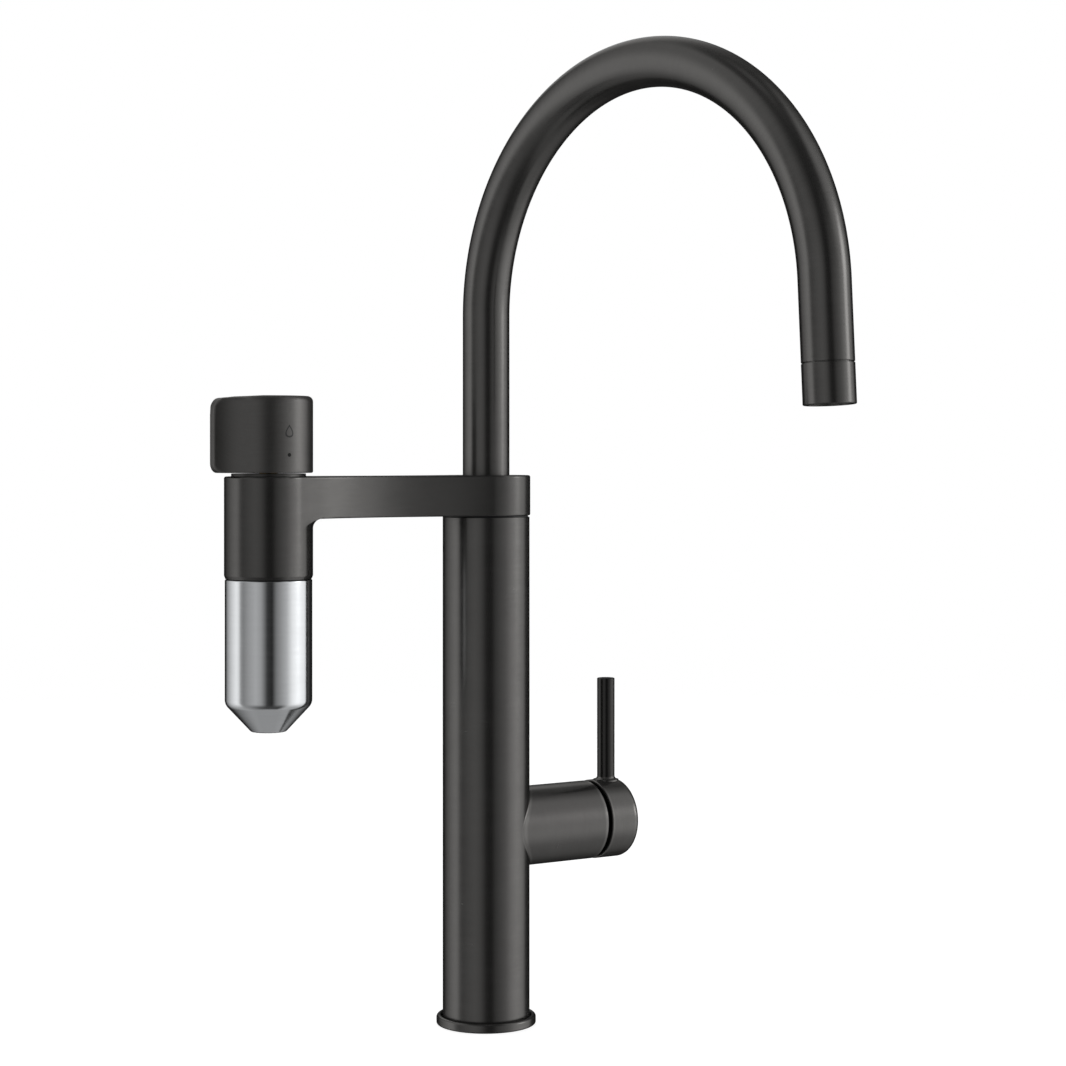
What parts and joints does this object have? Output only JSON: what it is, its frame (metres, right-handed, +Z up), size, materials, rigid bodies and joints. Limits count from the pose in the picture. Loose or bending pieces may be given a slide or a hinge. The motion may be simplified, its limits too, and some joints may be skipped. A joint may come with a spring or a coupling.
{
  "type": "kitchen tap with filter capsule",
  "caption": "Tall single-lever kitchen tap with an arched swivel spout and a filter capsule with its own rotary knob hanging under a side arm.",
  "frame": {"origin": "centre of the column on the deck: middle of the underside of the base flange", "axes": "+Z up along the column; the filter arm points along -X, the lever along +X, and the user stands at -Y"},
  "size_m": [0.2195, 0.248, 0.4504],
  "materials": {
    "satin_black": "satin anthracite metal with a fine circumferential brushing",
    "steel_shell": "fine brushed stainless steel",
    "brass": "machined brass",
    "steel_small": "plain steel",
    "tube_metal": "drawn stainless tube",
    "seal_rubber": "black rubber seal",
    "black_plastic": "black moulded plastic",
    "white_plastic": "white moulded plastic",
    "blue_plastic": "blue moulded plastic",
    "ceramic": "lapped white ceramic",
    "carbon": "pressed activated carbon",
    "fleece": "white non-woven fleece",
    "fibre": "bundle of white hollow fibres"
  },
  "bodies": {
    "tap_body": {"column_tube": "satin_black", "base_flange": "satin_black", "filter_arm": "satin_black", "lever_barrel": "satin_black", "base_core": "brass", "valve_body": "brass", "head_core": "brass", "filter_valve_sleeve": "brass", "cartridge_nut": "brass", "cold_riser": "tube_metal", "hot_riser": "tube_metal", "mixed_riser": "tube_metal", "feed_riser": "tube_metal", "arm_set_screws": "steel_small", "swivel_stop_pin": "steel_small", "riser_seals": "seal_rubber", "cartridge_port_seals": "seal_rubber", "head_core_seals": "seal_rubber", "valve_block_seals": "seal_rubber", "base_gasket": "seal_rubber", "head_washer": "black_plastic", "spout_bush": "black_plastic", "knob_glide_ring": "satin_black", "dome_trim": "black_plastic", "swivel_washer": "white_plastic", "cartridge_body": "white_plastic", "cartridge_base": "white_plastic", "valve_block": "white_plastic", "ceramic_disc_fixed": "ceramic", "valve_disc_fixed": "ceramic"},
    "spout": {"spout_tube": "satin_black", "spout_nipple": "brass", "nipple_orings": "seal_rubber", "filtered_line": "blue_plastic", "outlet_sleeve": "satin_black", "aerator_insert": "white_plastic", "aerator_seal": "seal_rubber"},
    "knob": {"filter_knob": "satin_black", "knob_spindle": "brass", "spindle_oring": "seal_rubber", "valve_disc_moving": "ceramic", "knob_grub_screw": "steel_small"},
    "capsule": {"capsule_shell": "steel_shell", "capsule_end_disc": "steel_shell", "capsule_collar": "black_plastic", "capsule_spigot_seals": "seal_rubber", "prefilter_fleece": "fleece", "carbon_block": "carbon", "membrane_bundle": "fibre", "capsule_core_tube": "white_plastic"},
    "lever_carrier": {"stem_carrier": "blue_plastic", "stem_pivot_pin": "steel_small"},
    "flow_disc": {"disc_driver": "blue_plastic", "ceramic_disc_moving": "ceramic"},
    "lever": {"cartridge_stem": "steel_small", "lever_cap": "satin_black", "lever_rod": "satin_black", "lever_grub_screw": "steel_small"}
  },
  "joints": [
    {"name": "spout_swivel", "type": "hinge", "parent": "tap_body", "child": "spout", "pos_m": [0, 0, 0.2504], "axis": [0, 0, 1], "range_deg": [-82.8, 67.2]},
    {"name": "lever_temperature", "type": "hinge", "parent": "tap_body", "child": "lever_carrier", "pos_m": [0.044, 0, 0.0911], "axis": [1, 0, 0], "range_deg": [-45, 45]},
    {"name": "lever_flow", "type": "hinge", "parent": "lever_carrier", "child": "lever", "pos_m": [0.044, 0, 0.0911], "axis": [0, 1, 0], "range_deg": [0, 22]},
    {"name": "disc_shift", "type": "slide", "parent": "lever_carrier", "child": "flow_disc", "axis": [0, 0, 1], "range_m": [0, 0.0037]},
    {"name": "filter_knob_turn", "type": "hinge", "parent": "tap_body", "child": "knob", "pos_m": [-0.1148, 0, 0.2765], "axis": [0, 0, 1], "range_deg": [0, 90]},
    {"name": "capsule_release", "type": "slide", "parent": "tap_body", "child": "capsule", "axis": [0, 0, -1], "range_m": [0, 0.03]}
  ],
  "couplings": [
    {"joint": "disc_shift", "follows": "lever_flow", "m_per_rad": 0.0095}
  ]
}
